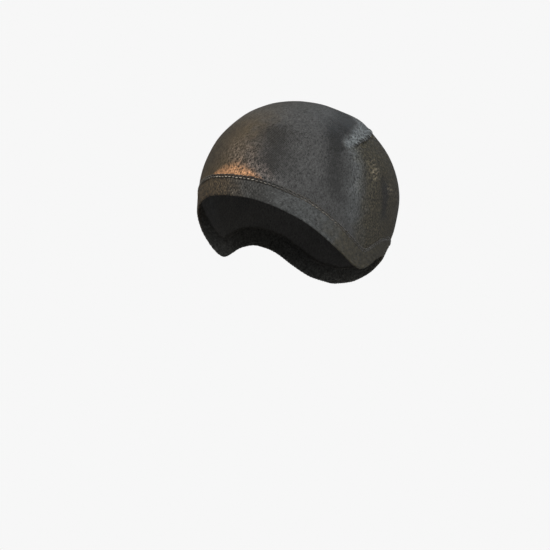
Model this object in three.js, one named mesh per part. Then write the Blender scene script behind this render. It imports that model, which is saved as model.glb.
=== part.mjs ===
// A stocking wig cap in the form that it has on a head: a hollow crown of one layer of stretch knit,
// the raised seam that closes the knitted tube across the back of the crown, and the doubled hem band.
// Millimetres, +Z up. The forehead faces -Y and the wearer's left is +X. The origin is the point
// inside the crown where the top of the head touches.
import * as THREE from "three";

// The worn crown, measured outside
const crownWidth = 153; // across the widest level, above the ears
const frontReach = 90.2; // from the crown's upright axis to the forehead
const backReach = 100.7; // from the axis to the back of the head
const crownRise = 80; // from the widest level to the top
const skullDrop = 95; // from the widest level to the base of the skull
const foreheadTaper = 0.035; // how much the forehead is narrower than the back, as a share

// The knit
const knitWall = 1; // the crown's single layer
const bandWall = 1.6; // the hem's two layers with the elastic between them
const bandWidth = 16; // from the hem's fold up to the crown
const bandEdge = 0.4; // rounding of the band's upper edge
const pieceGap = 0.3; // between neighbouring pieces

// The hem, as drops below the widest level, and the turns from the forehead where it has them
const frontDrop = 3.4;
const earPointDrop = 55.8;
const earPointTurn = 89;
const earNotchDrop = 43;
const earNotchTurn = 116;
const napeDrop = 71;

// The closing seam
const seamWidth = 3;
const seamHeight = 1.3;
const seamTaper = 0.12; // share of the seam's length over which each end thins out

// Facets
const columns = 96;
const crownRows = 15;
const foldArcs = 4; // facets round the hem's fold
const seamStations = 40;
const seamArcs = 5; // facets over the seam's back
const climbSteps = 6;
const slopeReach = 6; // degrees to each side over which the hem's slope is read

// Sections of the skull below the widest level: depth as a share of skullDrop, and each half-breadth
// as a share of the same one at the widest level
const SKULL = [
  { depth: 0, side: 1, front: 1, back: 1 },
  { depth: 0.16, side: 0.995, front: 1, back: 0.966 },
  { depth: 0.32, side: 0.98, front: 0.99, back: 0.888 },
  { depth: 0.53, side: 0.945, front: 0.96, back: 0.726 },
  { depth: 0.74, side: 0.9, front: 0.93, back: 0.606 },
  { depth: 1, side: 0.84, front: 0.9, back: 0.523 },
];

// How the hem falls from each landmark to the next: way is the share of the turn between them, and
// fall is the share of the drop
const HEM_TO_EAR_POINT = [
  { way: 0, fall: 0 },
  { way: 0.135, fall: 0.013 },
  { way: 0.27, fall: 0.07 },
  { way: 0.4, fall: 0.17 },
  { way: 0.54, fall: 0.317 },
  { way: 0.675, fall: 0.519 },
  { way: 0.81, fall: 0.744 },
  { way: 0.92, fall: 0.915 },
  { way: 1, fall: 1 },
];
const HEM_TO_EAR_NOTCH = [
  { way: 0, fall: 0 },
  { way: 0.3, fall: 0.3 },
  { way: 0.63, fall: 0.77 },
  { way: 1, fall: 1 },
];
const HEM_TO_NAPE = [
  { way: 0, fall: 0 },
  { way: 0.19, fall: 0.12 },
  { way: 0.44, fall: 0.5 },
  { way: 0.72, fall: 0.86 },
  { way: 1, fall: 1 },
];

// The closing seam's line: level is 0 at the top of the crown and 1 at the widest level
const SEAM = [
  { turn: 80, level: 0.63 },
  { turn: 101, level: 0.54 },
  { turn: 120, level: 0.48 },
  { turn: 150, level: 0.43 },
  { turn: 180, level: 0.41 },
];

// Folds of the stretched knit on each side of the head. bow is how far the middle of a fold swings
// towards the back, in degrees, and height and spread are millimetres.
const FOLDS = [
  // the crease down the side, behind the temple
  { turn: 80, level: 0.64, toTurn: 69, toLevel: 1.13, bow: 5, height: 1.7, spread: 6 },
  // the pucker above the ear
  { turn: 99, level: 0.7, toTurn: 92, toLevel: 1, bow: -2, height: 1, spread: 4.5 },
  // the pucker beside the nape
  { turn: 150, level: 0.95, toTurn: 138, toLevel: 1.3, bow: 3, height: 1, spread: 6 },
];

const quarterTurn = Math.PI / 2;
const halfTurn = 180;
const toRadians = Math.PI / 180;
const levelHeight = crownRise * quarterTurn; // millimetres of cloth to one level, at the widest level

// A smooth value of one column of a table at a place on its key column, with no overshoot
function readTable(table, key, column, place) {
  const last = table.length - 1;
  let i = 0;
  while (i < last - 1 && place > table[i + 1][key]) i += 1;
  const step = (k) => table[k + 1][key] - table[k][key];
  const slope = (k) => (table[k + 1][column] - table[k][column]) / step(k);
  const tangent = (k) => {
    if (k === 0) return slope(0);
    if (k === last) return slope(last - 1);
    const before = slope(k - 1);
    const after = slope(k);
    return before * after <= 0 ? 0 : (2 * before * after) / (before + after);
  };
  const t = (place - table[i][key]) / step(i);
  if (t > 1) return table[last][column] + (place - table[last][key]) * tangent(last);
  const s = 1 - t;
  return (
    table[i][column] * s * s * (1 + 2 * t) +
    table[i + 1][column] * t * t * (1 + 2 * s) +
    step(i) * s * t * (tangent(i) * s - tangent(i + 1) * t)
  );
}

// A turn in degrees from the forehead as the turn to either side, up to half a turn
function sideTurn(turn) {
  const whole = THREE.MathUtils.euclideanModulo(turn, 2 * halfTurn);
  return Math.min(whole, 2 * halfTurn - whole);
}

// The crown's outer surface with no folds
function skullPoint(turn, level) {
  const under = Math.max(level - 1, 0) * levelHeight;
  const spread = Math.sin(Math.min(level, 1) * quarterTurn);
  const share = (column) => (under > 0 ? readTable(SKULL, "depth", column, under / skullDrop) : 1);
  const ahead = Math.cos(turn * toRadians);
  const reach = ahead > 0 ? frontReach * share("front") : backReach * share("back");
  const side = (crownWidth / 2) * share("side") * (1 - foreheadTaper * ahead * spread);
  return new THREE.Vector3(
    side * spread * Math.sin(turn * toRadians),
    -reach * spread * ahead,
    crownRise * Math.cos(Math.min(level, 1) * quarterTurn) - crownRise - under + knitWall,
  );
}

function skullNormal(turn, level) {
  if (level === 0) return new THREE.Vector3(0, 0, 1);
  const nudge = 0.01;
  const round = skullPoint(turn + 1, level).sub(skullPoint(turn - 1, level));
  const down = skullPoint(turn, level + nudge).sub(skullPoint(turn, level - nudge));
  return round.cross(down).negate().normalize();
}

// How far the folds lift the knit at a place
function foldLift(turn, level) {
  const near = sideTurn(turn);
  let lift = 0;
  for (const fold of FOLDS) {
    const way = (level - fold.level) / (fold.toLevel - fold.level);
    if (way <= 0 || way >= 1) continue;
    const middle = THREE.MathUtils.lerp(fold.turn, fold.toTurn, way) + fold.bow * 4 * way * (1 - way);
    const off = ((near - middle) * toRadians * crownWidth) / 2 / fold.spread;
    lift += fold.height * Math.exp(-off * off) * Math.sin(Math.PI * way);
  }
  return lift;
}

// A place on the cap, so far out from the crown's outer surface
function clothPoint(turn, level, out, folded) {
  const lift = folded ? foldLift(turn, level) : 0;
  return skullPoint(turn, level).addScaledVector(skullNormal(turn, level), lift + out);
}

// The level that lies a length of cloth above another
function climb(turn, level, length) {
  let at = level;
  for (let i = 0; i < climbSteps; i += 1) {
    const speed = skullPoint(turn, at + 0.01).distanceTo(skullPoint(turn, at - 0.01)) / 0.02;
    at -= length / climbSteps / speed;
  }
  return at;
}

function hemDrop(turn) {
  const near = sideTurn(turn);
  const fall = (table, from, to, fromDrop, toDrop) =>
    fromDrop + (toDrop - fromDrop) * readTable(table, "way", "fall", (near - from) / (to - from));
  if (near < earPointTurn) return fall(HEM_TO_EAR_POINT, 0, earPointTurn, frontDrop, earPointDrop);
  if (near < earNotchTurn)
    return fall(HEM_TO_EAR_NOTCH, earPointTurn, earNotchTurn, earPointDrop, earNotchDrop);
  return fall(HEM_TO_NAPE, earNotchTurn, halfTurn, earNotchDrop, napeDrop);
}

function hemLevel(turn) {
  return 1 + hemDrop(turn) / levelHeight;
}

// A width across the slanting hem is longer straight up the head
function slant(turn) {
  const level = hemLevel(turn);
  const slope = (to) =>
    (hemDrop(turn + to) - hemDrop(turn)) / skullPoint(turn + to, level).distanceTo(skullPoint(turn, level));
  return Math.sqrt(1 + (slope(slopeReach) ** 2 + slope(-slopeReach) ** 2) / 2);
}

function levelAboveHem(turn, width) {
  return climb(turn, hemLevel(turn), width * slant(turn));
}

// A closed mesh from rings of points that run round a section, one ring for each column. closed says
// that the last column meets the first; otherwise both end rings are capped.
function ringMesh(rings, closed) {
  const size = rings[0].length;
  const positions = rings.flat().flatMap((p) => p.toArray());
  const faces = [];
  const at = (column, place) => (column % rings.length) * size + (place % size);
  const spans = closed ? rings.length : rings.length - 1;
  for (let c = 0; c < spans; c += 1) {
    for (let p = 0; p < size; p += 1) {
      faces.push(at(c, p), at(c + 1, p), at(c + 1, p + 1));
      faces.push(at(c, p), at(c + 1, p + 1), at(c, p + 1));
    }
  }
  for (let p = 1; p < size - 1 && !closed; p += 1) {
    faces.push(at(0, 0), at(0, p), at(0, p + 1));
    faces.push(at(spans, 0), at(spans, p + 1), at(spans, p));
  }
  return solidGeometry(positions, faces);
}

function solidGeometry(positions, faces) {
  const geometry = new THREE.BufferGeometry();
  geometry.setAttribute("position", new THREE.Float32BufferAttribute(positions, 3));
  geometry.setIndex(faces);
  geometry.computeVertexNormals();
  return geometry;
}

const columnTurns = Array.from({ length: columns }, (_, c) => (2 * halfTurn * c) / columns);

// Crown: an outer and an inner skin, joined round the lower edge
function crownGeometry() {
  const positions = [];
  const faces = [];
  const skin = (out) => {
    const start = positions.length / 3;
    positions.push(...clothPoint(0, 0, out, false).toArray());
    for (let row = 1; row <= crownRows; row += 1) {
      for (const turn of columnTurns) {
        const level = (levelAboveHem(turn, bandWidth + pieceGap) * row) / crownRows;
        positions.push(...clothPoint(turn, level, out, true).toArray());
      }
    }
    return (row, c) => (row === 0 ? start : start + 1 + (row - 1) * columns + (c % columns));
  };
  const outer = skin(0);
  const inner = skin(-knitWall);
  for (let c = 0; c < columns; c += 1) {
    faces.push(outer(0, 0), outer(1, c), outer(1, c + 1));
    faces.push(inner(0, 0), inner(1, c + 1), inner(1, c));
    for (let row = 1; row < crownRows; row += 1) {
      faces.push(outer(row, c), outer(row + 1, c), outer(row + 1, c + 1));
      faces.push(outer(row, c), outer(row + 1, c + 1), outer(row, c + 1));
      faces.push(inner(row, c), inner(row + 1, c + 1), inner(row + 1, c));
      faces.push(inner(row, c), inner(row, c + 1), inner(row + 1, c + 1));
    }
    faces.push(outer(crownRows, c), inner(crownRows, c), inner(crownRows, c + 1));
    faces.push(outer(crownRows, c), inner(crownRows, c + 1), outer(crownRows, c + 1));
  }
  return solidGeometry(positions, faces);
}

// Hem band: one section, folded round at the hem, carried round the head. up is the width of cloth
// above the fold, and out is measured from the crown's outer surface.
function hemBandGeometry() {
  const round = bandWall / 2;
  const inside = -knitWall;
  const outside = inside + bandWall;
  const section = [];
  for (let k = 0; k <= foldArcs; k += 1) {
    const angle = Math.PI * (k / foldArcs - 0.5);
    section.push({ up: round * (1 - Math.cos(angle)), out: inside + round * (1 + Math.sin(angle)) });
  }
  section.push({ up: bandWidth / 2, out: outside });
  section.push({ up: bandWidth - bandEdge, out: outside });
  section.push({ up: bandWidth, out: outside - bandEdge });
  section.push({ up: bandWidth, out: inside });
  section.push({ up: bandWidth / 2, out: inside });
  const rings = columnTurns.map((turn) =>
    section.map(({ up, out }) => clothPoint(turn, levelAboveHem(turn, up), out, false)),
  );
  return ringMesh(rings, true);
}

// Closing seam: a low round ridge that follows its line over the back of the crown
function crownSeamGeometry() {
  const firstTurn = SEAM[0].turn;
  const linePoint = (way, out) => {
    const turn = THREE.MathUtils.lerp(firstTurn, 2 * halfTurn - firstTurn, way);
    return clothPoint(turn, readTable(SEAM, "turn", "level", sideTurn(turn)), out, true);
  };
  const nudge = 0.01;
  const rings = [];
  for (let s = 0; s <= seamStations; s += 1) {
    const way = s / seamStations;
    const foot = linePoint(way, 0);
    const out = linePoint(way, 1).sub(foot).normalize();
    const along = linePoint(way + nudge, 0).sub(linePoint(way - nudge, 0)).normalize();
    const across = new THREE.Vector3().crossVectors(along, out).normalize();
    const full = THREE.MathUtils.smoothstep(Math.min(way, 1 - way), -seamTaper / 2, seamTaper);
    const ring = [];
    for (let k = 0; k <= seamArcs; k += 1) {
      const angle = (Math.PI * k) / seamArcs;
      ring.push(
        foot
          .clone()
          .addScaledVector(across, (Math.cos(angle) * seamWidth * full) / 2)
          .addScaledVector(out, pieceGap + Math.sin(angle) * seamHeight * full),
      );
    }
    rings.push(ring);
  }
  return ringMesh(rings, false);
}

// Off-black nylon, and the same yarn where it is doubled or stitched
const crownKnit = new THREE.MeshStandardMaterial({ color: 0x33322f, roughness: 0.55, metalness: 0 });
const bandKnit = new THREE.MeshStandardMaterial({ color: 0x292825, roughness: 0.6, metalness: 0 });
const seamThread = new THREE.MeshStandardMaterial({ color: 0x201f1d, roughness: 0.7, metalness: 0 });

function piece(name, geometry, material) {
  const mesh = new THREE.Mesh(geometry, material);
  mesh.name = name;
  return mesh;
}

const wigCap = new THREE.Group();
wigCap.add(piece("crown", crownGeometry(), crownKnit));
wigCap.add(piece("crown_seam", crownSeamGeometry(), seamThread));
wigCap.add(piece("hem_band", hemBandGeometry(), bandKnit));

export default wigCap;
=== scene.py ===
import math

import bmesh
import bpy
import numpy as np
from mathutils import Matrix, Vector, noise
from mathutils.kdtree import KDTree


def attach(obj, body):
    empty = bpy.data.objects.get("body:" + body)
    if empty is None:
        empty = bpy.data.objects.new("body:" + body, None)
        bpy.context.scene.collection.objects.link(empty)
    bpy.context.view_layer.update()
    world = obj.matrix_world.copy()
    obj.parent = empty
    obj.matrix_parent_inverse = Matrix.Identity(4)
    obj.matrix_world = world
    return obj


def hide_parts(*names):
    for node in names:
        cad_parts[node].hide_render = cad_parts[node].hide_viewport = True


MM = 0.001

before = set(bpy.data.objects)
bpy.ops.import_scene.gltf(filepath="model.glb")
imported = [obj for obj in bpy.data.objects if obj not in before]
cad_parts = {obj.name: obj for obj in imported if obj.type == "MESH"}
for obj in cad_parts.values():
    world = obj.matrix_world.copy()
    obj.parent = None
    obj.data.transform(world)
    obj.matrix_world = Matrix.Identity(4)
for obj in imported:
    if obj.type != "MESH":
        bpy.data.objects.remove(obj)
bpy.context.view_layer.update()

# Crown knit
WIDEST_LEVEL = -79 * MM  # height of the cap's widest level
KNIT_WALL = 0.7 * MM
KNIT_STITCH = 1.3 * MM
COLUMNS_TIMES = 4  # fine columns for each of the frame's
ROWS_TIMES = 7
TUCK_DEPTH = 0.15 * MM  # the crown's lower edge dips so far to where the band holds it
TUCK_REACH = 1.6 * MM
HELD_LENGTH = 2.6 * MM  # and runs on so far between the band's two layers
UNEVEN_HEIGHT = 0.35 * MM  # soft unevenness of the stretched knit
UNEVEN_SIZE = 17 * MM

# The knit's columns and courses are laid out round this middle and axis, at this radius
LAID_MIDDLE = (0, 8 * MM, WIDEST_LEVEL)
LAID_AXIS = (0, 0.25, 0.97)
LAID_RADIUS = 88 * MM

# Soft folds down the crown: degrees from the forehead, lowest and highest point above the band, depth, and
# half width in degrees
SOFT_FOLDS = (
    (106, 14 * MM, 58 * MM, 0.8 * MM, 4.5),
    (97, 4 * MM, 26 * MM, 0.4 * MM, 3.5),
    (131, 8 * MM, 40 * MM, 0.7 * MM, 5),
)
CREASE_HEIGHT = 0.6 * MM  # the knit is drawn taut over the frame's side crease
CREASE_TURN = (72, 79)  # at the band and at the closing seam
CREASE_HALF_WIDTH = 6.5

# Where the knit's tones begin and end, in degrees from the forehead, positive towards the wearer's left
FRONT_LEFT_END = (-2, 27)
FRONT_RIGHT_END = (-62, -34)
FRONT_TOP_END = (40 * MM, 80 * MM)  # above the band
# REAR_START also marks where the painted shade over the back begins
REAR_START = (72, 88)
NAPE_START = (120, 150)
FAR_SIDE = (-75, -48)  # where the side that the picture hides begins
FAR_BACK = (125, 160)

# Where the painted highlight along the side creases and the creases themselves rise and fade, above the band
CREASE_LIT_FROM = (2 * MM, 14 * MM)
CREASE_LIT_TO = (62 * MM, 80 * MM)
CREASE_FROM = (4 * MM, 16 * MM)
CREASE_TO = (56 * MM, 70 * MM)
FOLD_END = 12 * MM  # a fold or a dark place rises over this height

# The flecks above the sheer window: degrees from the forehead, at the band and above it, and half width
FLECK_TURN = (15, 3)
FLECK_HALF_WIDTH = 12
FLECK_TOP = (14 * MM, 46 * MM)

# Where shade is painted darkest on the knit: degrees from the forehead, half width, lowest and highest point
# above the band, and how dark on the wearer's left and right
SHADE_PLACES = (
    (20.5, 12, 1 * MM, 62 * MM, 1, 0.5),
    (61, 8.5, 8 * MM, 66 * MM, 0.8, 0.8),
    (107, 5, 10 * MM, 60 * MM, 1, 1),
)

# A highlight is painted on the knit in front of the closing seam: degrees from the forehead, and its reach
# there
SEAM_HIGHLIGHT_TURN = (74, 118)
SEAM_HIGHLIGHT_REACH = (6 * MM, 18.5 * MM)

# Small puckers, with a painted highlight on their lines: degrees from the forehead, height above the band,
# half width in degrees, half height
PUCKER_PLACES = ((96, 57 * MM, 5, 7.5 * MM), (113, 41 * MM, 3, 4 * MM))
PUCKER_PITCH = (5 * MM, 11 * MM)  # their lines down the cap and round it
DRAWN_GRAIN = (2.0 * MM, 3.4 * MM, 3 * MM)  # the grain behind the ear, down the cap and round it

# Closing seam
GATHER_PITCH = 4.0 * MM
GATHER_HEIGHT = 1.0 * MM
GATHER_REACH = 4 * MM
SWELL_HEIGHT = 1.5 * MM  # the knit swells in front of the seam, most at this distance from it
SWELL_AT = 12 * MM
SWELL_REACH = 12 * MM
SEAM_FADE = 12 * MM  # gathers and swell fade over this length at the seam's ends
SEAM_TAPER = 14 * MM  # and the seam itself narrows over this one
SEAM_WIDTH = 2.8 * MM
SEAM_HEIGHT = 0.75 * MM
SEAM_STATIONS_TIMES = 8
SEAM_SIDES = 12
OVERLOCK_PITCH = 2.1 * MM
OVERLOCK_THREAD = 0.5 * MM

# Hem band
BAND_SMOOTHING = 3  # levels of subdivision
BAND_STITCH = 1.2 * MM
RIB_PITCH = 2.4 * MM
RIB_HEIGHT = 0.12 * MM
CHAIN_PITCH = 3.5 * MM
CHAIN_WIDTH = 2.5 * MM
CHAIN_THREAD = 1.1 * MM
CHAIN_LOOP_POINTS = 14
CHAIN_BELOW_EDGE = 0.9 * MM
CHAIN_OUT = 0.65 * MM
CHAIN_SUNK = 0.6 * MM  # how much deeper it is drawn into the band at the sides
FLECK_LENGTH = 1.8 * MM  # the short stitch in the lower half of each chain loop
FLECK_THREAD = 0.85 * MM
FLECK_DROP = 0.7 * MM
FLECK_BOW = 0.8 * MM
THREAD_PLY = 0.8 * MM  # the size of the twist in the threads

# The sheer window where the knit is stretched thinnest, over the forehead above the band
WINDOW_TURN = 2.5  # degrees towards the wearer's left
WINDOW_HALF_WIDTH = 19
WINDOW_HEIGHT = 12 * MM

# Softboxes: azimuth from the camera's direction, elevation, distance, width and height, watts, colour, and
# what they give
SOFTBOXES = {
    "key": (-4, 31, 1.4, (0.7, 0.9), 18.5, (1, 0.99, 0.97), "both"),
    "left": (-75, 20, 1.3, (0.5, 0.8), 6, (1, 0.92, 0.81), "both"),
    "side": (76, 4, 1.2, (0.14, 0.7), 9, (0.88, 0.93, 0.97), "sheen"),
    "crown_rim": (145, 48, 1.2, (0.3, 0.3), 2, (0.72, 0.86, 1), "sheen"),
    "left_rim": (-115, 58, 1.2, (0.5, 0.5), 3.6, (1, 0.91, 0.78), "sheen"),
    "rear": (180, 25, 1.4, (0.9, 0.9), 9, (1, 0.97, 0.93), "plain"),
}
SOFTBOX_AIM = (0, 0, -60 * MM)
FILL_COLOUR = (1.0, 0.96, 0.89, 1)
FILL_STRENGTH = 0.33

# The camera and the floor
PHOTO_SIZE = 550  # pixels a side
PIXELS_PER_METRE = 1200
CAMERA_DISTANCE = 1.8
CAMERA_AZIMUTH = 37
CAMERA_ELEVATION = -0.77
CAMERA_ROLL = 4.35  # the cap leans so far to the right in the picture
CAP_AXIS_PIXEL = (296.2, 197.4)  # where the crown's axis passes its widest level
SENSOR = 36
FLOOR_DROP = 1.2  # from the origin down to the floor
FLOOR_RADIUS = 40
PALE = (0.93, 0.93, 0.93, 1)


# Shared geometry


def turn_of(points):
    """Degrees round the head from the forehead, positive towards the wearer's left, from -180 to 180."""
    return np.degrees(np.arctan2(points[..., 0], -points[..., 1]))


def between(before, rows, after, times):
    """Rows of points with so many times as many steps, on smooth curves through the given rows. before and
    after are the rows beyond the two ends."""
    p = np.concatenate([before[None], rows, after[None]])
    fine = []
    for i in range(1, len(p) - 2):
        a, b, c, d = p[i - 1 : i + 3]
        squared, cubed = 2 * a - 5 * b + 4 * c - d, 3 * b - a - 3 * c + d
        for t in np.arange(times) / times:
            fine.append(b + 0.5 * ((c - a) * t + squared * t**2 + cubed * t**3))
    fine.append(p[-2])
    return np.array(fine)


def smooth_line(points, times):
    return between(2 * points[0] - points[1], points, 2 * points[-1] - points[-2], times)


def smooth_ring(points, times):
    return between(points[-1], np.concatenate([points, points[:1]]), points[1], times)[:-1]


def unit(vectors):
    return vectors / np.maximum(np.linalg.norm(vectors, axis=-1, keepdims=True), 1e-12)


def mesh_object(name, points, faces, fields=None):
    """A smooth-shaded mesh. fields are values for each point, kept as attributes that the finishes read."""
    mesh = bpy.data.meshes.new(name)
    mesh.from_pydata(np.asarray(points).tolist(), [], faces)
    for field, values in (fields or {}).items():
        values = np.asarray(values, np.float32)
        kind, key = ("FLOAT", "value") if values.ndim == 1 else ("FLOAT_VECTOR", "vector")
        mesh.attributes.new(field, kind, "POINT").data.foreach_set(key, values.ravel())
    mesh.shade_smooth()
    piece = bpy.data.objects.new(name, mesh)
    bpy.context.scene.collection.objects.link(piece)
    return piece


def tube(path, thickness, sides, closed):
    """Points and faces of a round thread along a path, capped at both ends unless it is closed."""
    ahead = np.roll(path, -1, 0) - np.roll(path, 1, 0)
    if not closed:
        ahead[0], ahead[-1] = path[1] - path[0], path[-1] - path[-2]
    ahead = unit(ahead)
    side = unit(np.cross(ahead, np.array([0.31, 0.22, 0.92])))
    lift = np.cross(side, ahead)
    angles = 2 * np.pi * np.arange(sides) / sides
    round_it = np.cos(angles)[None, :, None] * side[:, None] + np.sin(angles)[None, :, None] * lift[:, None]
    points = (path[:, None] + round_it * thickness / 2).reshape(-1, 3)
    count = len(path)
    faces = []
    for i in range(count if closed else count - 1):
        for k in range(sides):
            a, b = i * sides, (i + 1) % count * sides
            faces.append((a + k, a + (k + 1) % sides, b + (k + 1) % sides, b + k))
    if not closed:
        faces.append(tuple(range(sides))[::-1])
        faces.append(tuple((count - 1) * sides + k for k in range(sides)))
    return points, faces


def joined(parts):
    """Points and faces of several parts as one mesh."""
    points, faces, start = [], [], 0
    for part_points, part_faces in parts:
        points.append(part_points)
        faces += [tuple(start + i for i in face) for face in part_faces]
        start += len(part_points)
    return np.concatenate(points), faces


# The frame's own lines and surfaces


def welded(node):
    """A node of the frame as a bmesh with its corners joined."""
    solid = bmesh.new()
    solid.from_mesh(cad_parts[node].data)
    bmesh.ops.remove_doubles(solid, verts=solid.verts, dist=0.001 * MM)
    return solid


def crown_rings():
    """The crown's outer skin: its top, then rings of points a row apart, from there to the lower edge."""
    solid = welded("crown")
    top = max(solid.verts, key=lambda v: v.co.z)
    ring, seen, rings = {top}, {top}, []
    columns = len(top.link_edges)
    for _ in range((len(solid.verts) - 2) // 2 // columns):
        ring = {e.other_vert(v) for v in ring for e in v.link_edges} - seen
        seen |= ring
        points = np.array([v.co for v in ring])
        from_front = (turn_of(points) + 180 / columns) % 360
        rings.append(points[np.argsort(from_front)])
    top = np.array(top.co)
    solid.free()
    return np.concatenate([np.tile(top, (1, columns, 1)), np.array(rings)])


def seam_line():
    """The closing seam's middle line on the crown, and the way out of the crown at each of its points."""
    solid = welded("crown_seam")
    points = np.array([v.co for v in solid.verts])
    solid.free()
    # The frame's ridge has six points to a section
    points = points[np.argsort(turn_of(points) % 360)].reshape(-1, 6, 3)
    spans = np.linalg.norm(points[:, :, None] - points[:, None], axis=-1).reshape(len(points), -1)
    widest = spans.argmax(1)
    feet = (points[range(len(points)), widest // 6] + points[range(len(points)), widest % 6]) / 2
    out = unit(points.mean(1) - feet)
    fine = smooth_line(feet, SEAM_STATIONS_TIMES)
    return fine, unit(smooth_line(out, SEAM_STATIONS_TIMES))


def fine_crown():
    """A fine grid of points over the crown's outer skin, row by row from the top, and each one's way out."""
    coarse = crown_rings()
    half = coarse.shape[1] // 2
    over_the_top = np.roll(coarse[1], half, 0)
    rows = between(over_the_top, coarse, 2 * coarse[-1] - coarse[-2], ROWS_TIMES)
    grid = smooth_ring(rows.transpose(1, 0, 2), COLUMNS_TIMES).transpose(1, 0, 2)
    return grid, outward(grid)


def outward(grid):
    round_it = np.roll(grid, -1, 1) - np.roll(grid, 1, 1)
    down = np.gradient(grid, axis=0)
    out = unit(np.cross(round_it, down)) * -1
    out[0] = (0, 0, 1)
    return out


def along(line):
    return np.concatenate([[0], np.cumsum(np.linalg.norm(np.diff(line, axis=0), axis=1))])


def ease(value, low, high):
    t = np.clip((value - low) / (high - low), 0, 1)
    return t * t * (3 - 2 * t)


def nearest_on(line, points):
    """For each point, the index of the line's nearest point and the distance to it."""
    tree = KDTree(len(line))
    for i, p in enumerate(line):
        tree.insert(p, i)
    tree.balance()
    found = [tree.find(p) for p in points]
    return np.array([f[1] for f in found]), np.array([f[2] for f in found])


def unevenness(points, size, seed):
    shift = Vector((seed, 2 * seed, 3 * seed))
    return np.array([noise.noise(Vector(p) / size + shift) for p in points])


# Finishes


def group(name, inputs, outputs):
    """An empty shader node group with its sockets, and its nodes for the input and output ends."""
    tree = bpy.data.node_groups.new(name, "ShaderNodeTree")
    for socket, kind, value in inputs:
        made = tree.interface.new_socket(socket, in_out="INPUT", socket_type=kind)
        if value is not None:
            made.default_value = value
    for socket, kind in outputs:
        tree.interface.new_socket(socket, in_out="OUTPUT", socket_type=kind)
    return tree, tree.nodes.new("NodeGroupInput"), tree.nodes.new("NodeGroupOutput")


def node(tree, kind, inputs=None, **settings):
    """A shader node with its settings, and its inputs as values or as sockets to link."""
    made = tree.nodes.new("ShaderNode" + kind)
    for key, value in settings.items():
        setattr(made, key, value)
    for socket, value in (inputs or {}).items():
        target = made.inputs[socket]
        if isinstance(value, bpy.types.NodeSocket):
            tree.links.new(value, target)
        else:
            target.default_value = value
    return made


def maths(tree, operation, *values, clamp=False):
    return node(tree, "Math", dict(enumerate(values)), operation=operation, use_clamp=clamp).outputs[0]


def blended(tree, factor, first, second, blend_type="MIX"):
    made = node(tree, "MixRGB", {"Fac": factor, "Color1": first, "Color2": second}, blend_type=blend_type)
    return made.outputs[0]


def field(tree, name):
    return node(tree, "Attribute", attribute_name=name).outputs["Fac"]


def knit_grain():
    """Stretched knit in columns of V-shaped stitches, where Lie is the place on the laid-out cloth. Yarn is
    1 on the yarn and 0 in the small gaps between, Speckle is the chance tone of a few stitches, and Mottle
    is a softer unevenness over more of them. Shade is about 1, less in the gaps and more or less with
    Speckle and Mottle, each by its own share."""
    tree, ends, out = group(
        "knit_grain",
        [
            ("Lie", "NodeSocketVector", None),
            ("Stitch", "NodeSocketFloat", KNIT_STITCH),
            ("Speckle Share", "NodeSocketFloat", 1.0),
            ("Mottle Share", "NodeSocketFloat", 1.0),
            ("Gap Share", "NodeSocketFloat", 0.3),
        ],
        [(name, "NodeSocketFloat") for name in ("Yarn", "Speckle", "Mottle", "Shade")],
    )
    lie = ends.outputs["Lie"]
    drift = node(tree, "TexNoise", {"Vector": lie, "Scale": 1 / (7 * MM), "Detail": 1.0})
    drift = node(tree, "VectorMath", {0: drift.outputs["Color"], "Scale": 1.6 * MM}, operation="SCALE")
    lie = node(tree, "VectorMath", {0: lie, 1: drift.outputs[0]}, operation="ADD").outputs[0]
    stitches = maths(tree, "DIVIDE", 1.0, ends.outputs["Stitch"])
    counted = node(tree, "VectorMath", {0: lie, "Scale": stitches}, operation="SCALE").outputs[0]
    axes = node(tree, "SeparateXYZ", {0: counted}).outputs
    leg = maths(tree, "PINGPONG", axes["X"], 0.5)
    course = maths(tree, "PINGPONG", maths(tree, "MULTIPLY_ADD", leg, 1.1, axes["Y"]), 0.5)
    yarn = node(tree, "MapRange", {"Value": course, "From Min": 0.1, "From Max": 0.3})
    column = node(tree, "MapRange", {"Value": leg, "From Min": 0.0, "From Max": 0.12, "To Min": 0.3})
    chance = node(tree, "TexNoise", {"Vector": counted, "Scale": 0.68, "Detail": 2.0, "Roughness": 0.8})
    chance = node(tree, "MapRange", {"Value": chance.outputs["Fac"], "From Min": 0.28, "From Max": 0.72})
    mottle = node(tree, "TexNoise", {"Vector": counted, "Scale": 0.22, "Detail": 2.0, "Roughness": 0.6})
    made = {
        "Yarn": maths(tree, "MULTIPLY", yarn.outputs[0], column.outputs[0]),
        "Speckle": chance.outputs[0],
        "Mottle": mottle.outputs["Fac"],
    }
    shares = []
    for name, share in (("Yarn", "Gap Share"), ("Speckle", "Speckle Share"), ("Mottle", "Mottle Share")):
        off = maths(tree, "SUBTRACT", made[name], 0.5)
        shares.append(maths(tree, "MULTIPLY_ADD", off, ends.outputs[share], 1.0))
    made["Shade"] = maths(tree, "MULTIPLY", maths(tree, "MULTIPLY", shares[1], shares[2]), shares[0])
    for name, socket in made.items():
        tree.links.new(socket, out.inputs[name])
    return tree


KNIT_GRAIN = knit_grain()


def finish(name):
    """A new material, its node tree and its shader."""
    material = bpy.data.materials.new(name)
    material.use_nodes = True
    tree = material.node_tree
    return material, tree, tree.nodes["Principled BSDF"]


def grain(tree, stitch, speckle_share, mottle_share, gap_share, lie=None):
    """The knit at this stitch size, laid on the cloth by its own field or, where it has none, in place."""
    if lie:
        place = node(tree, "Attribute", attribute_name=lie).outputs["Vector"]
    else:
        place = node(tree, "TexCoord").outputs["Object"]
    inputs = {
        "Lie": place,
        "Stitch": stitch,
        "Speckle Share": speckle_share,
        "Mottle Share": mottle_share,
        "Gap Share": gap_share,
    }
    return node(tree, "Group", inputs, node_tree=KNIT_GRAIN).outputs


def grey(value, warm=0.0):
    return (value * (1 + warm), value, value * (1 - warm), 1)
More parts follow.
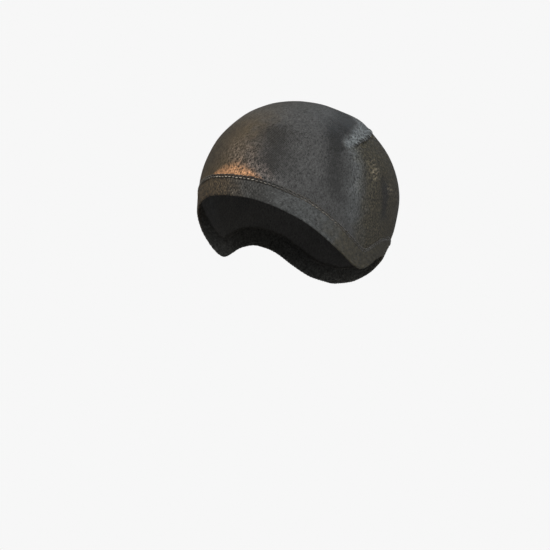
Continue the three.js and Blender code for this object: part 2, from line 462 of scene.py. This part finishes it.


# Tones of the sheer knit: all round, at the front, the painted shade over the back, the painted highlight
# over the creases and before the seam, the painted shade between them, opened in flecks, in the sheer window
# and the painted highlight on the puckers
KNIT_TONE = grey(0.054, -0.02)
FRONT_TONE = (0.051, 0.0385, 0.0225, 1)
REAR_SHADE_TONE = (0.0405, 0.0355, 0.0225, 1)
HIGHLIGHT_TONE = (0.155, 0.175, 0.187, 1)
PAINTED_SHADE_TONE = grey(0.012)
FLECK_TONE = (0.21, 0.165, 0.15, 1)
WINDOW_TONE = (0.38, 0.2, 0.1, 1)
PUCKER_HIGHLIGHT_TONE = (0.19, 0.165, 0.12, 1)

# Tones of the band: all round, at the front, the painted shade over the back, and where shade is painted on
# it
BAND_TONE = (0.053, 0.057, 0.059, 1)
BAND_FRONT_TONE = (0.037, 0.027, 0.016, 1)
BAND_REAR_SHADE_TONE = (0.036, 0.0315, 0.0195, 1)
BAND_PAINTED_SHADE_TONE = (0.02, 0.02, 0.019, 1)

SEAM_TONE = grey(0.016, 0.04)[:3]

# Tones of the threads: their own, their painted highlight, and where they are dark
OVERLOCK_TONES = (grey(0.014), (0.24, 0.27, 0.28, 1), grey(0.012))
CHAIN_TONES = ((0.048, 0.044, 0.038, 1), (0.38, 0.345, 0.29, 1), grey(0.008, 0.1))


def coloured(tree, shader, tone, shade):
    """Base colour of the shader: the tone times the shade."""
    product = node(tree, "VectorMath", {0: tone, "Scale": shade}, operation="SCALE")
    tree.links.new(product.outputs[0], shader.inputs["Base Color"])


def raised(tree, shader, height, distance, strength):
    bump = node(tree, "Bump", {"Height": height, "Distance": distance, "Strength": strength})
    tree.links.new(bump.outputs[0], shader.inputs["Normal"])


def sheer_knit():
    material, tree, shader = finish("sheer_knit")
    names = ("front", "rear", "thin", "highlight", "painted_shade", "flecked", "pucker", "drawn", "plain")
    front, rear, thin, highlight, painted_shade, flecked, pucker, drawn, plain = (field(tree, name) for name in names)
    grainy = maths(tree, "MULTIPLY_ADD", maths(tree, "MAXIMUM", flecked, highlight), 1.0, 1.6)
    grainy = maths(tree, "MULTIPLY_ADD", rear, 0.6, grainy)
    knit = grain(tree, KNIT_STITCH, maths(tree, "MULTIPLY_ADD", plain, -0.8, grainy), 0.5, 0.3, "lie")
    tone = blended(tree, front, KNIT_TONE, FRONT_TONE)
    # painted shade over the back, darker and warmer
    tone = blended(tree, rear, tone, REAR_SHADE_TONE)
    # painted highlight over the side crease and in front of the closing seam
    tone = blended(tree, maths(tree, "MULTIPLY", highlight, 0.77), tone, HIGHLIGHT_TONE)
    # painted shade in the listed dark places and past the seam highlight
    tone = blended(tree, maths(tree, "MULTIPLY", painted_shade, 0.9), tone, PAINTED_SHADE_TONE)
    flecks = maths(tree, "POWER", knit["Speckle"], 2.0)
    sheer = maths(tree, "MULTIPLY", flecked, maths(tree, "MULTIPLY", flecks, 0.42))
    tone = blended(tree, sheer, tone, FLECK_TONE)
    opened = maths(tree, "MULTIPLY_ADD", knit["Speckle"], 0.75, maths(tree, "SUBTRACT", thin, 0.375))
    opened = node(tree, "MapRange", {"Value": opened, "From Min": 0.0, "From Max": 1.08}).outputs[0]
    opened = maths(tree, "MULTIPLY", opened, maths(tree, "MULTIPLY", thin, 1.6, clamp=True))
    tone = blended(tree, opened, tone, WINDOW_TONE)
    # painted highlight on the pucker lines, over their bump
    lines = maths(tree, "MULTIPLY", pucker, slanting_lines(tree))
    tone = blended(tree, maths(tree, "MULTIPLY", lines, 0.85), tone, PUCKER_HIGHLIGHT_TONE)
    drawn = maths(tree, "MULTIPLY", drawn, maths(tree, "MULTIPLY_ADD", plain, -0.7, 1.0))
    shade = maths(tree, "MULTIPLY_ADD", drawn, drawn_grain(tree), 1.0)
    shade = maths(tree, "MULTIPLY", shade, knit["Shade"])
    # painted shade: the colour is darkened towards the silhouette
    rim_shade = node(tree, "LayerWeight", {"Blend": 0.5}).outputs["Facing"]
    rim_shade = maths(tree, "POWER", rim_shade, 6.0)
    shade = maths(tree, "MULTIPLY", shade, maths(tree, "MULTIPLY_ADD", rim_shade, -0.8, 1.0))
    coloured(tree, shader, tone, shade)
    cover = maths(tree, "MULTIPLY_ADD", knit["Yarn"], 0.09, 0.87)
    cover = maths(tree, "MULTIPLY_ADD", thin, -0.12, cover)
    tree.links.new(cover, shader.inputs["Alpha"])
    raised(tree, shader, maths(tree, "MULTIPLY_ADD", lines, 3.0, knit["Yarn"]), 0.3 * MM, 0.45)
    shader.inputs["Roughness"].default_value = 0.58
    shader.inputs["Specular IOR Level"].default_value = 0.24
    return material


def drawn_grain(tree):
    """Coarser grain, longer round the cap than down it, from less to more than 0."""
    lie = node(tree, "Attribute", attribute_name="lie").outputs["Vector"]
    steps = [1 / size for size in DRAWN_GRAIN]
    place = node(tree, "VectorMath", {0: lie, 1: steps}, operation="MULTIPLY").outputs[0]
    chance = node(tree, "TexNoise", {"Vector": place, "Scale": 1.0, "Detail": 1.0, "Roughness": 0.6})
    return node(
        tree,
        "MapRange",
        {"Value": chance.outputs["Fac"], "From Min": 0.3, "From Max": 0.7, "To Min": -0.7, "To Max": 0.85},
    ).outputs[0]


def slanting_lines(tree):
    """Fine lines across the laid-out cloth, 1 in the middle of each."""
    lie = node(tree, "Attribute", attribute_name="lie").outputs["Vector"]
    steps = [2 * math.pi / pitch for pitch in PUCKER_PITCH] + [0]
    place = node(tree, "VectorMath", {0: lie, 1: steps}, operation="DOT_PRODUCT").outputs["Value"]
    wander = node(tree, "TexNoise", {"Vector": lie, "Scale": 1 / (6 * MM), "Detail": 1.0}).outputs["Fac"]
    wave = maths(tree, "SINE", maths(tree, "MULTIPLY_ADD", wander, 9.0, place))
    return maths(tree, "POWER", maths(tree, "MULTIPLY_ADD", wave, 0.5, 0.5), 2.0)


def doubled_knit():
    material, tree, shader = finish("doubled_knit")
    front, rear = field(tree, "front"), field(tree, "rear")
    knit = grain(tree, BAND_STITCH, maths(tree, "MULTIPLY_ADD", front, 1.3, 1.6), 0.7, 0.3, "lie")
    tone = blended(tree, front, BAND_TONE, BAND_FRONT_TONE)
    # painted shade over the back of the band
    tone = blended(tree, rear, tone, BAND_REAR_SHADE_TONE)
    # painted shade near the front of the band
    tone = blended(tree, maths(tree, "MULTIPLY", field(tree, "painted_shade"), 0.8), tone, BAND_PAINTED_SHADE_TONE)
    ribs = maths(tree, "MULTIPLY", field(tree, "rib"), knit["Mottle"])
    shade = maths(tree, "MULTIPLY", knit["Shade"], maths(tree, "MULTIPLY_ADD", ribs, 1.2, 1.0))
    coloured(tree, shader, tone, shade)
    raised(tree, shader, knit["Yarn"], 0.25 * MM, 0.5)
    shader.inputs["Roughness"].default_value = 0.6
    shader.inputs["Specular IOR Level"].default_value = 0.3
    return material


def seam_cloth():
    material, tree, shader = finish("seam_cloth")
    knit = grain(tree, BAND_STITCH, 0.7, 1.2, 0.3)
    coloured(tree, shader, SEAM_TONE, knit["Shade"])
    raised(tree, shader, knit["Yarn"], 0.2 * MM, 0.6)
    shader.inputs["Roughness"].default_value = 0.6
    return material


def thread(name, base, thread_glint, dark):
    """Nylon thread, with a painted highlight or darker where the fields of those names say so."""
    material, tree, shader = finish(name)
    knit = grain(tree, THREAD_PLY, 0.3, 0.8, 0.2)
    tone = blended(tree, field(tree, "dark"), base, dark)
    tone = blended(tree, field(tree, "thread_glint"), tone, thread_glint)
    coloured(tree, shader, tone, knit["Shade"])
    raised(tree, shader, knit["Mottle"], 0.1 * MM, 0.5)
    shader.inputs["Roughness"].default_value = 0.42
    return material


# Pieces


grid, out = fine_crown()
edge = grid[-1]
seam, seam_out = seam_line()


def cloth_fields(points):
    """How the knit lies at each point, for its finish. front and rear are tones, rear being painted shade
    over the back, thin is the sheer window, flecked is where it opens in flecks above that, highlight is a
    highlight painted over a crease and up to the seam, painted_shade is shade painted between them, drawn is
    where its grain is coarser, and plain is the far side, where all of this is fainter."""
    turn = turn_of(points)
    side = np.abs(turn)
    above = nearest_on(edge, points)[1]
    from_seam = nearest_on(seam, points)[1]
    behind = seam_side(points)
    wavy = unevenness(points, 7 * MM, 5)
    waver = unevenness(points, 15 * MM, 6)
    front = (1 - ease(turn + 9 * wavy, *FRONT_LEFT_END)) * ease(turn + 5 * waver, *FRONT_RIGHT_END)
    front *= 1 - 0.8 * ease(above, *FRONT_TOP_END)
    drawn = ease(side + 6 * wavy + 4 * waver, *REAR_START) * behind
    # rear is painted shade over the back, darker and warmer, less at the nape
    rear = drawn * (1 - 0.7 * ease(side, *NAPE_START))
    off = np.abs(turn - WINDOW_TURN + 0.7 * wavy) / WINDOW_HALF_WIDTH
    arch = np.maximum(WINDOW_HEIGHT * (1 - off**1.4), 0.8 * MM)
    thin = (1 - ease(above / arch, 0.05, 1.5)) * ease(1.08 - off, 0, 0.3)
    thin *= 1 - 0.45 * ease(turn + 3 * wavy, 4, 18)
    # a painted highlight along the side crease, and in front of the closing seam
    highlight = np.exp(-(((side - crease_turn(above) + 2 * waver) / CREASE_HALF_WIDTH) ** 2))
    highlight *= ease(above, *CREASE_LIT_FROM) * (1 - ease(above, *CREASE_LIT_TO))
    reach = np.interp(side, SEAM_HIGHLIGHT_TURN, SEAM_HIGHLIGHT_REACH)
    seam_highlight = 1 - ease(from_seam + 2.5 * MM * wavy, reach - 3 * MM, reach + 3.5 * MM)
    seam_highlight *= (1 - behind) * (1 - 0.55 * ease(side, 125, 150))
    highlight = np.maximum(0.34 * highlight, seam_highlight)
    # painted shade in the listed dark places
    painted_shade = np.zeros(len(points))
    for middle, half_width, low, high, left_share, right_share in SHADE_PLACES:
        place = np.exp(-(((side - middle + 3 * waver) / half_width) ** 2))
        place *= np.where(turn < 0, right_share, left_share)
        place *= ease(above, low, low + FOLD_END) * (1 - ease(above, high - 20 * MM, high))
        painted_shade = np.maximum(painted_shade, place)
    # and painted shade just past the highlight in front of the seam
    seam_shade = ease(from_seam + 3 * MM * waver, reach + 1 * MM, reach + 5 * MM)
    seam_shade *= 1 - ease(from_seam, reach + 12 * MM, reach + 32 * MM)
    painted_shade = np.maximum(painted_shade, seam_shade * (1 - behind) * ease(side, 45, 62) * (1 - ease(side, 120, 140)))
    at_band, higher = FLECK_TURN
    middle = higher + (at_band - higher) * (1 - ease(above, 3 * MM, 18 * MM))
    flecked = np.exp(-(np.abs((turn - middle + 6 * waver) / FLECK_HALF_WIDTH) ** 3))
    flecked *= (1 - ease(above + 12 * MM * waver, *FLECK_TOP)) * ease(above, 0, 4 * MM)
    far = 1 - ease(turn, *FAR_SIDE) * (1 - ease(turn, *FAR_BACK))
    rear, highlight, painted_shade = rear * (1 - 0.7 * far), highlight * (1 - 0.35 * far), painted_shade * (1 - 0.35 * far)
    return {
        "front": front,
        "plain": far,
        "rear": rear,
        "thin": thin,
        "highlight": highlight,
        "painted_shade": painted_shade,
        "flecked": flecked,
        "pucker": puckers(side, above) * (1 - 0.6 * far),
        "drawn": drawn,
        "lie": laid_out(points),
    }


def puckers(side, above):
    """Small places where the knit puckers in fine slanting lines."""
    place = 0 * side
    for turn, height, half_width, half_height in PUCKER_PLACES:
        off = ((side - turn) / half_width) ** 2 + ((above - height) / half_height) ** 2
        place = np.maximum(place, np.exp(-(off**1.5)))
    return place


def laid_out(points):
    """Each point's place on the cloth if the crown were laid out flat round the top of the head."""
    from_middle = unit(points - np.array(LAID_MIDDLE))
    axis = unit(np.array(LAID_AXIS))
    back = np.cross(np.array((1, 0, 0)), axis) * -1
    angle = np.arccos(np.clip(from_middle @ axis, -1, 1))
    across = np.stack([from_middle[:, 0], from_middle @ back, 0 * angle], -1)
    return unit(across) * (angle * LAID_RADIUS)[:, None]


def crease_turn(above):
    return np.interp(above, (0, 60 * MM), CREASE_TURN)


def seam_side(points):
    """1 behind and below the closing seam, 0 in front of it and over the top."""
    index = nearest_on(seam, points)[0]
    ahead = unit(np.gradient(seam, axis=0))
    across = np.cross(ahead, seam_out)
    offset = np.einsum("ij,ij->i", points - seam[index], across[index])
    front = np.einsum("ij,ij->i", np.array([[0, 0, 1.0]]) + 0 * across, across)
    sign = -np.sign(front[index])
    return ease(offset * sign, -1 * MM, 1 * MM)


def crown_knit():
    """The sheer crown: the frame's outer skin made fine, tucked in at the band and gathered at the seam."""
    rows, columns = grid.shape[:2]
    points = grid.reshape(-1, 3).copy()
    normals = out.reshape(-1, 3)
    index, away = nearest_on(seam, points)
    above = nearest_on(edge, points)[1]
    behind = seam_side(points)
    run = along(seam)[index]
    ends = ease(np.minimum(run, run.max() - run), 0, SEAM_FADE)
    wander = unevenness(points, 9 * MM, 2)
    gathers = np.cos(2 * np.pi * run / GATHER_PITCH + 2.5 * wander) * np.exp(-away / GATHER_REACH)
    swell = np.exp(-(((away - SWELL_AT) / SWELL_REACH) ** 2)) * (1 - behind)
    height = GATHER_HEIGHT * gathers * ends + SWELL_HEIGHT * swell * ends
    height += UNEVEN_HEIGHT * unevenness(points, UNEVEN_SIZE, 1)
    height += soft_folds(points, above)
    height -= TUCK_DEPTH * (1 - ease(above, 0, TUCK_REACH))
    points += normals * height[:, None]
    skin = points.reshape(rows, columns, 3)
    down = unit(grid[-1] - grid[-3])
    held = [skin[-1] + down * HELD_LENGTH * share - 0.05 * MM * out[-1] for share in (0.5, 1.0)]
    skin = np.concatenate([skin, held])
    rows += len(held)
    under = skin - outward(skin) * KNIT_WALL
    outer = skin.reshape(-1, 3)[columns - 1 :]
    inner = under.reshape(-1, 3)[columns - 1 :]
    fields = {key: np.concatenate([values, values]) for key, values in cloth_fields(outer).items()}
    top = len(outer)
    faces = skin_faces(rows, columns, 0, False) + skin_faces(rows, columns, top, True)
    last = top - columns
    for c in range(columns):
        a, b = last + c, last + (c + 1) % columns
        faces.append((a, a + top, b + top, b))
    return mesh_object("crown_knit", np.concatenate([outer, inner]), faces, fields)


def soft_folds(points, above):
    """Height of the taut side creases and the soft hollows between them."""
    side = np.abs(turn_of(points)) + 1.5 * unevenness(points, 20 * MM, 7)
    crease = np.exp(-(((side - crease_turn(above)) / CREASE_HALF_WIDTH) ** 2))
    height = CREASE_HEIGHT * crease * ease(above, *CREASE_FROM) * (1 - ease(above, *CREASE_TO))
    for turn, low, high, depth, half_width in SOFT_FOLDS:
        hollow = np.exp(-(((side - turn) / half_width) ** 2))
        reach = ease(above, low, low + FOLD_END) * (1 - ease(above, high - FOLD_END, high))
        height -= depth * hollow * reach
    return height


def skin_faces(rows, columns, start, flipped):
    """Faces of one skin: a fan at its top point, then rings of quads."""
    faces = []
    for c in range(columns):
        faces.append((start, start + 1 + c, start + 1 + (c + 1) % columns))
    for r in range(rows - 2):
        a, b = start + 1 + r * columns, start + 1 + (r + 1) * columns
        for c in range(columns):
            d = (c + 1) % columns
            faces.append((a + c, b + c, b + d, a + d))
    return [face[::-1] for face in faces] if flipped else faces


def band_knit():
    """The doubled hem: the frame's band made smooth, with fine ribs across it."""
    solid = welded("hem_band")
    bmesh.ops.join_triangles(
        solid,
        faces=solid.faces,
        angle_face_threshold=math.radians(40),
        angle_shape_threshold=math.radians(70),
    )
    mesh = bpy.data.meshes.new("band_rough")
    solid.to_mesh(mesh)
    solid.free()
    rough = bpy.data.objects.new("band_rough", mesh)
    bpy.context.scene.collection.objects.link(rough)
    smooth = rough.modifiers.new("smooth", "SUBSURF")
    smooth.levels = smooth.render_levels = BAND_SMOOTHING
    made = bpy.data.meshes.new_from_object(rough.evaluated_get(bpy.context.evaluated_depsgraph_get()))
    bpy.data.objects.remove(rough)
    count = len(made.vertices)
    points, normals = np.empty(count * 3), np.empty(count * 3)
    made.vertices.foreach_get("co", points)
    made.vertices.foreach_get("normal", normals)
    points, normals = points.reshape(-1, 3), normals.reshape(-1, 3)
    hem = np.roll(edge, len(edge) // 2, 0)  # from the middle of the nape, all the way round
    index, away = nearest_on(hem, points)
    run = along(np.concatenate([hem, hem[:1]]))[index]
    wander = unevenness(points, 6 * MM, 3)
    ribs = np.cos(2 * np.pi * (run + 0.5 * away) / RIB_PITCH + 1.5 * wander)
    height = RIB_HEIGHT * ribs + 0.2 * MM * unevenness(points, 11 * MM, 4)
    points += normals * height[:, None]
    faces = [tuple(p.vertices) for p in made.polygons]
    fields = cloth_fields(points)
    turn = turn_of(points)
    side = np.abs(turn)
    fields["front"] = (1 - ease(turn + 6 * wander, -4, 20)) * ease(turn, -66, -38)
    # painted shade on the band near the front
    fields["painted_shade"] = np.exp(-(((turn - 16) / 12) ** 2))
    # painted shade over the back of the band
    fields["rear"] = ease(side + 8 * wander, 50, 72) * (1 - 0.7 * ease(side, *NAPE_START))
    fields["rear"] *= 1 - 0.7 * fields["plain"]
    fields["rib"] = ribs * (0.15 + 0.85 * (1 - ease(side, 8, 30)))
    fields["lie"] = np.stack([run, away, 0 * run], -1)
    return mesh_object("band_knit", points, faces, fields)


def chain_tones(around):
    """How strong the painted highlight on the short stitches is, how dark the loops are and how dark the
    short stitches are, so many degrees round from the middle of the sheer window."""
    side = abs(around)
    # pale is the painted highlight on the short stitches
    pale = 1 - 0.75 * ease(side, 11, 17) - 0.25 * ease(side, 20, 26)
    pale += 0.45 * ease(side, 34, 44) * (1 - ease(side, 60, 68))
    fade = ease(around, 20, 36) if around > 0 else ease(-around, 12, 26)
    far = 0.4 * float(ease(side, 45, 62))
    return pale, max(1 - float(fade), far), far


def chain_stitches():
    """The row of chain-stitch loops that joins the crown to the band, just below the band's upper edge,
    each with a short stitch inside it. A highlight is painted on the short stitches where they catch the
    light, on the forehead and, less, at the temples."""
    line = np.concatenate([edge, edge[:1]])
    length = along(line)
    count = round(length[-1] / CHAIN_PITCH)
    columns = len(edge)
    down = unit(grid[-1] - grid[-4])
    parts, thread_glint, dark = [], [], []
    angles = 2 * np.pi * np.arange(CHAIN_LOOP_POINTS) / CHAIN_LOOP_POINTS
    for k in range(count):
        at = length[-1] * k / count
        c = int(np.searchsorted(length, at, side="right")) - 1
        share = (at - length[c]) / (length[c + 1] - length[c])
        here = line[c] * (1 - share) + line[c + 1] * share
        c %= columns
        ahead, lift = unit(line[c + 1] - line[c]), out[-1, c]
        lean = 0.12 * math.sin(7.3 * k) + 0.08 * math.sin(2.1 * k)
        around = float(turn_of(here)) - WINDOW_TURN
        pale, deep, far = chain_tones(around)
        sunk = CHAIN_SUNK * float(ease(abs(around), 22, 40))
        below = CHAIN_BELOW_EDGE + 0.12 * MM * math.sin(3.7 * k)
        centre = here + down[c] * below + lift * (CHAIN_OUT - sunk)
        long = np.cos(angles)[:, None] * ahead * CHAIN_PITCH * 0.56
        rise = np.where(np.sin(angles) < 0, 0.55, 0.45) * np.sin(angles)
        wide = (rise + lean * np.cos(angles))[:, None] * down[c] * CHAIN_WIDTH
        over = 0.14 * MM * np.cos(angles)[:, None] * lift
        loop = tube(centre + long + wide + over, CHAIN_THREAD, 6, True)
        reach = np.linspace(-0.5, 0.5, 5)[:, None]
        bow = (0.75 - reach**2) * lift * FLECK_BOW
        slant = down[c] * (FLECK_DROP + reach * 0.5 * MM * math.sin(5.1 * k))
        fleck = tube(centre + reach * ahead * FLECK_LENGTH + bow + slant, FLECK_THREAD, 6, False)
        parts += [loop, fleck]
        # painted highlight on each short stitch, uneven from one to the next
        pale *= 0.65 + 0.35 * math.sin(4.3 * k)
        thread_glint += [np.zeros(len(loop[0])), np.full(len(fleck[0]), pale)]
        dark += [np.full(len(loop[0]), deep), np.full(len(fleck[0]), far)]
    points, faces = joined(parts)
    fields = {"thread_glint": np.concatenate(thread_glint), "dark": np.concatenate(dark)}
    return mesh_object("chain_stitches", points, faces, fields)


def seam_taper(run, length):
    """The seam's share of its full size at this place along it, less towards its two ends."""
    return 0.25 + 0.75 * ease(np.minimum(run, length - run), 0, SEAM_TAPER)


def closing_seam():
    """The seam allowance: a low gathered ridge across the back of the crown."""
    run = along(seam)
    taper = seam_taper(run, run[-1])
    step = 2 * np.pi * run / GATHER_PITCH
    pucker = np.cos(step) + 0.6 * np.cos(2.7 * step + 1)
    wide = SEAM_WIDTH / 2 * taper * (1 + 0.14 * pucker)
    high = SEAM_HEIGHT * taper * (1 + 0.24 * pucker)
    across = unit(np.cross(unit(np.gradient(seam, axis=0)), seam_out))
    angles = 2 * np.pi * np.arange(SEAM_SIDES) / SEAM_SIDES
    centre = seam + seam_out * (high * 0.35)[:, None]
    ring = (
        centre[:, None]
        + across[:, None] * (np.cos(angles)[None] * wide[:, None])[..., None]
        + seam_out[:, None] * (np.sin(angles)[None] * high[:, None] * 0.75)[..., None]
    )
    points = ring.reshape(-1, 3)
    faces = []
    for i in range(len(seam) - 1):
        for k in range(SEAM_SIDES):
            a, b, d = i * SEAM_SIDES, (i + 1) * SEAM_SIDES, (k + 1) % SEAM_SIDES
            faces.append((a + k, b + k, b + d, a + d))
    faces.append(tuple(range(SEAM_SIDES)))
    faces.append(tuple(len(points) - 1 - k for k in range(SEAM_SIDES)))
    return mesh_object("closing_seam", points, faces)


def seam_overlock():
    """Threads whipped over the closing seam, each from one side of it to the other."""
    run = along(seam)
    ahead = unit(np.gradient(seam, axis=0))
    across = unit(np.cross(ahead, seam_out))
    count = int(run[-1] / OVERLOCK_PITCH)
    parts, thread_glint = [], []
    for k in range(1, count):
        at = run[-1] * k / count
        i = int(np.searchsorted(run, at))
        i = min(max(i, 0), len(seam) - 1)
        taper = seam_taper(at, run[-1])
        t = np.linspace(-1, 1, 9)
        over = np.sqrt(np.maximum(1 - (t * 0.97) ** 2, 0))
        path = (
            seam[i]
            + across[i] * (t * SEAM_WIDTH * 0.62 * taper)[:, None]
            + seam_out[i] * (over * SEAM_HEIGHT * 1.22 * taper)[:, None]
            + ahead[i] * (t * OVERLOCK_PITCH * 0.35)[:, None]
        )
        parts.append(tube(path, OVERLOCK_THREAD, 5, False))
        # a painted highlight on some of the threads
        thread_glint.append(np.full(len(parts[-1][0]), max(0, math.sin(2.7 * k))))
    points, faces = joined(parts)
    return mesh_object("seam_overlock", points, faces, {"thread_glint": np.concatenate(thread_glint)})


def dressed(piece, material):
    piece.data.materials.append(material)
    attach(piece, "root")
    return piece


overlock_thread = thread("overlock_thread", *OVERLOCK_TONES)
chain_thread = thread("chain_thread", *CHAIN_TONES)
crown = dressed(crown_knit(), sheer_knit())
band = dressed(band_knit(), doubled_knit())
seam_ridge = dressed(closing_seam(), seam_cloth())
overlock = dressed(seam_overlock(), overlock_thread)
chain = dressed(chain_stitches(), chain_thread)
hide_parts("crown")
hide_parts("hem_band")
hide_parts("crown_seam")


# Camera, light and floor


def way_out(azimuth, elevation):
    """The direction from the cap that has this azimuth from the forehead and this elevation."""
    a, e = math.radians(azimuth), math.radians(elevation)
    return Vector((math.sin(a) * math.cos(e), -math.cos(a) * math.cos(e), math.sin(e)))


def aimed_camera():
    lens = SENSOR * CAMERA_DISTANCE * PIXELS_PER_METRE / PHOTO_SIZE
    widest = Vector((0, 0, WIDEST_LEVEL))
    back = way_out(CAMERA_AZIMUTH, CAMERA_ELEVATION)
    data = bpy.data.cameras.new("camera")
    data.sensor_width, data.lens = SENSOR, lens
    camera = bpy.data.objects.new("camera", data)
    bpy.context.scene.collection.objects.link(camera)
    focal = lens / SENSOR * PHOTO_SIZE
    sideways = math.atan((CAP_AXIS_PIXEL[0] - PHOTO_SIZE / 2) / focal)
    upward = math.atan((PHOTO_SIZE / 2 - CAP_AXIS_PIXEL[1]) / focal)
    level = (-back).to_track_quat("-Z", "Y").to_matrix().to_4x4()
    rolled = level @ Matrix.Rotation(math.radians(CAMERA_ROLL), 4, "Z")
    turned = rolled @ Matrix.Rotation(sideways, 4, "Y") @ Matrix.Rotation(-upward, 4, "X")
    camera.matrix_world = Matrix.Translation(widest + back * CAMERA_DISTANCE) @ turned
    bpy.context.scene.camera = camera


def softbox(name, azimuth, elevation, distance, size, watts, colour, gives):
    """An area light that faces the cap, placed by its angles from the camera's own direction. It gives both
    plain light and sheen, or one of them."""
    back = way_out(CAMERA_AZIMUTH + azimuth, elevation)
    data = bpy.data.lights.new(name, "AREA")
    data.shape, data.size, data.size_y = "RECTANGLE", *size
    data.energy, data.color = watts, colour
    lamp = bpy.data.objects.new(name, data)
    lamp.matrix_world = Matrix.Translation(Vector(SOFTBOX_AIM) + back * distance) @ (
        back.to_track_quat("Z", "Y").to_matrix().to_4x4()
    )
    lamp.visible_diffuse = gives != "sheen"
    lamp.visible_glossy = gives != "plain"
    bpy.context.scene.collection.objects.link(lamp)


def studio():
    world = bpy.data.worlds.new("studio")
    world.use_nodes = True
    tree = world.node_tree
    seen = tree.nodes["Background"]
    seen.inputs["Color"].default_value = PALE
    fill = node(tree, "Background", {"Color": FILL_COLOUR, "Strength": FILL_STRENGTH})
    camera_ray = node(tree, "LightPath").outputs["Is Camera Ray"]
    both = node(tree, "MixShader", {0: camera_ray, 1: fill.outputs[0], 2: seen.outputs[0]})
    tree.links.new(both.outputs[0], tree.nodes["World Output"].inputs["Surface"])
    bpy.context.scene.world = world
    for name, values in SOFTBOXES.items():
        softbox(name, *values)


def floor():
    """A wide pale floor far below the cap, as bright as the studio round it."""
    angles = np.radians(range(0, 360, 5))
    points = [(FLOOR_RADIUS * math.cos(a), FLOOR_RADIUS * math.sin(a), -FLOOR_DROP) for a in angles]
    piece = mesh_object("floor", points, [tuple(range(len(points)))])
    material, _, shader = finish("pale_floor")
    shader.inputs["Base Color"].default_value = (0, 0, 0, 1)
    shader.inputs["Roughness"].default_value = 1.0
    shader.inputs["Specular IOR Level"].default_value = 0.0
    shader.inputs["Emission Color"].default_value = PALE
    shader.inputs["Emission Strength"].default_value = 1.0
    piece.data.materials.append(material)
    piece.visible_diffuse = piece.visible_glossy = False


aimed_camera()
studio()
floor()
bpy.context.scene.view_settings.view_transform = "Standard"
